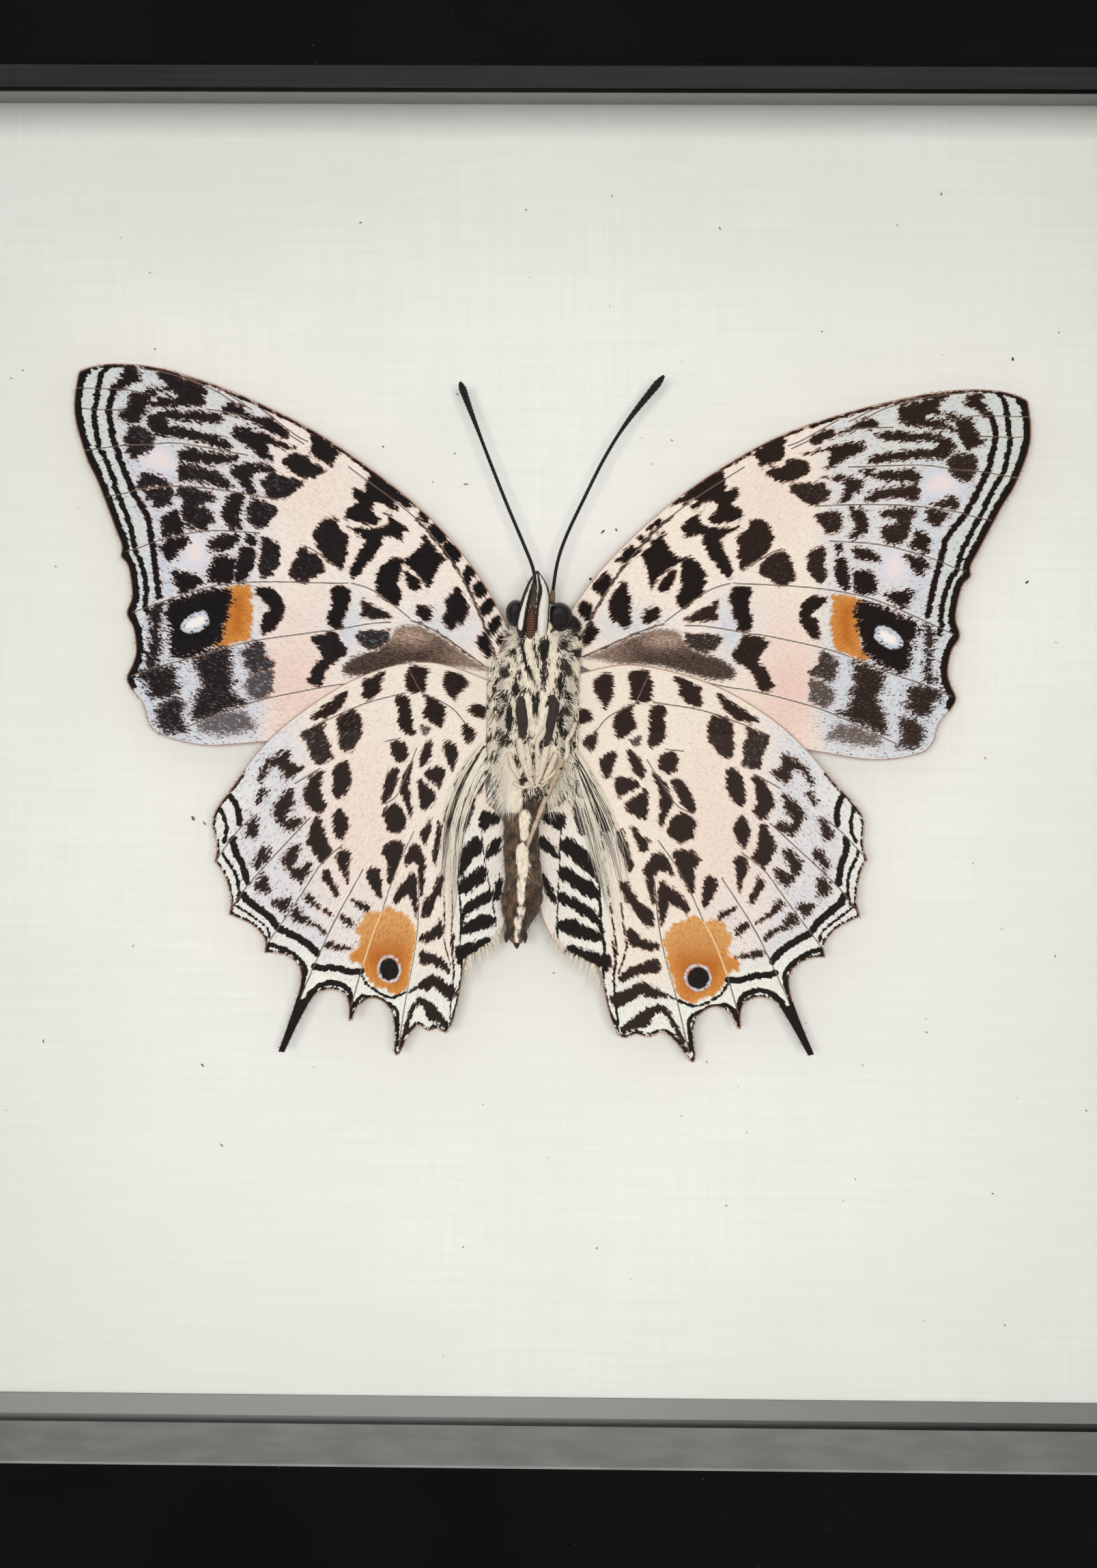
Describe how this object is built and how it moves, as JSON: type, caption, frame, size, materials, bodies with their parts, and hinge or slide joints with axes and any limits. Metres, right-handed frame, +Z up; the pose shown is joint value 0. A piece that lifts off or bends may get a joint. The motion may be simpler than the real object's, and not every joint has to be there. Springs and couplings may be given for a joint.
{
  "type": "framed butterfly specimen",
  "caption": "Small deep black picture frame holding a dried butterfly with patterned, tailed wings, spread underside-out on white linen-textured board behind glass.",
  "frame": {"origin": "middle of the underside of the bottom rail", "axes": "+X to the viewer's right, +Z up, the glass faces -Y and the back panel faces +Y"},
  "size_m": [0.127, 0.0295, 0.127],
  "materials": {
    "black_rail": "satin black paint on wood",
    "black_spacer": "satin",
    "clear_glass": "clear picture glass",
    "linen_card": "white card embossed with a fine linen weave",
    "hardboard": "smooth brown hardboard",
    "spring_steel": "plain",
    "brassed_steel": "brassed",
    "pad_foam": "matt white foam",
    "body_scales": "dry scaled and furry skin, brown with cream marks",
    "forewing_scales": "dry scaled membrane, cream and grey with black-brown blotches and an orange band",
    "hindwing_scales": "dry scaled membrane, cream with dark spots, an orange eyespot and striped edges",
    "antenna_black": "dull black",
    "leg_scales": "cream with dark specks"
  },
  "bodies": {
    "root": {"rail_top": "black_rail", "rail_bottom": "black_rail", "rail_left": "black_rail", "rail_right": "black_rail", "glass_pane": "clear_glass", "spacer_top": "black_spacer", "spacer_bottom": "black_spacer", "spacer_left": "black_spacer", "spacer_right": "black_spacer", "mount_board": "linen_card", "back_panel": "hardboard", "tab_1": "spring_steel", "tab_2": "spring_steel", "tab_3": "spring_steel", "tab_4": "spring_steel", "tab_5": "spring_steel", "tab_6": "spring_steel", "tab_7": "spring_steel", "tab_8": "spring_steel", "sawtooth_hanger": "brassed_steel", "hanger_brad_left": "brassed_steel", "hanger_brad_right": "brassed_steel", "specimen_pad": "pad_foam", "butterfly_body": "body_scales", "forewing_left": "forewing_scales", "forewing_right": "forewing_scales", "hindwing_left": "hindwing_scales", "hindwing_right": "hindwing_scales", "antenna_left": "antenna_black", "antenna_right": "antenna_black", "hind_leg": "leg_scales"}
  },
  "joints": []
}
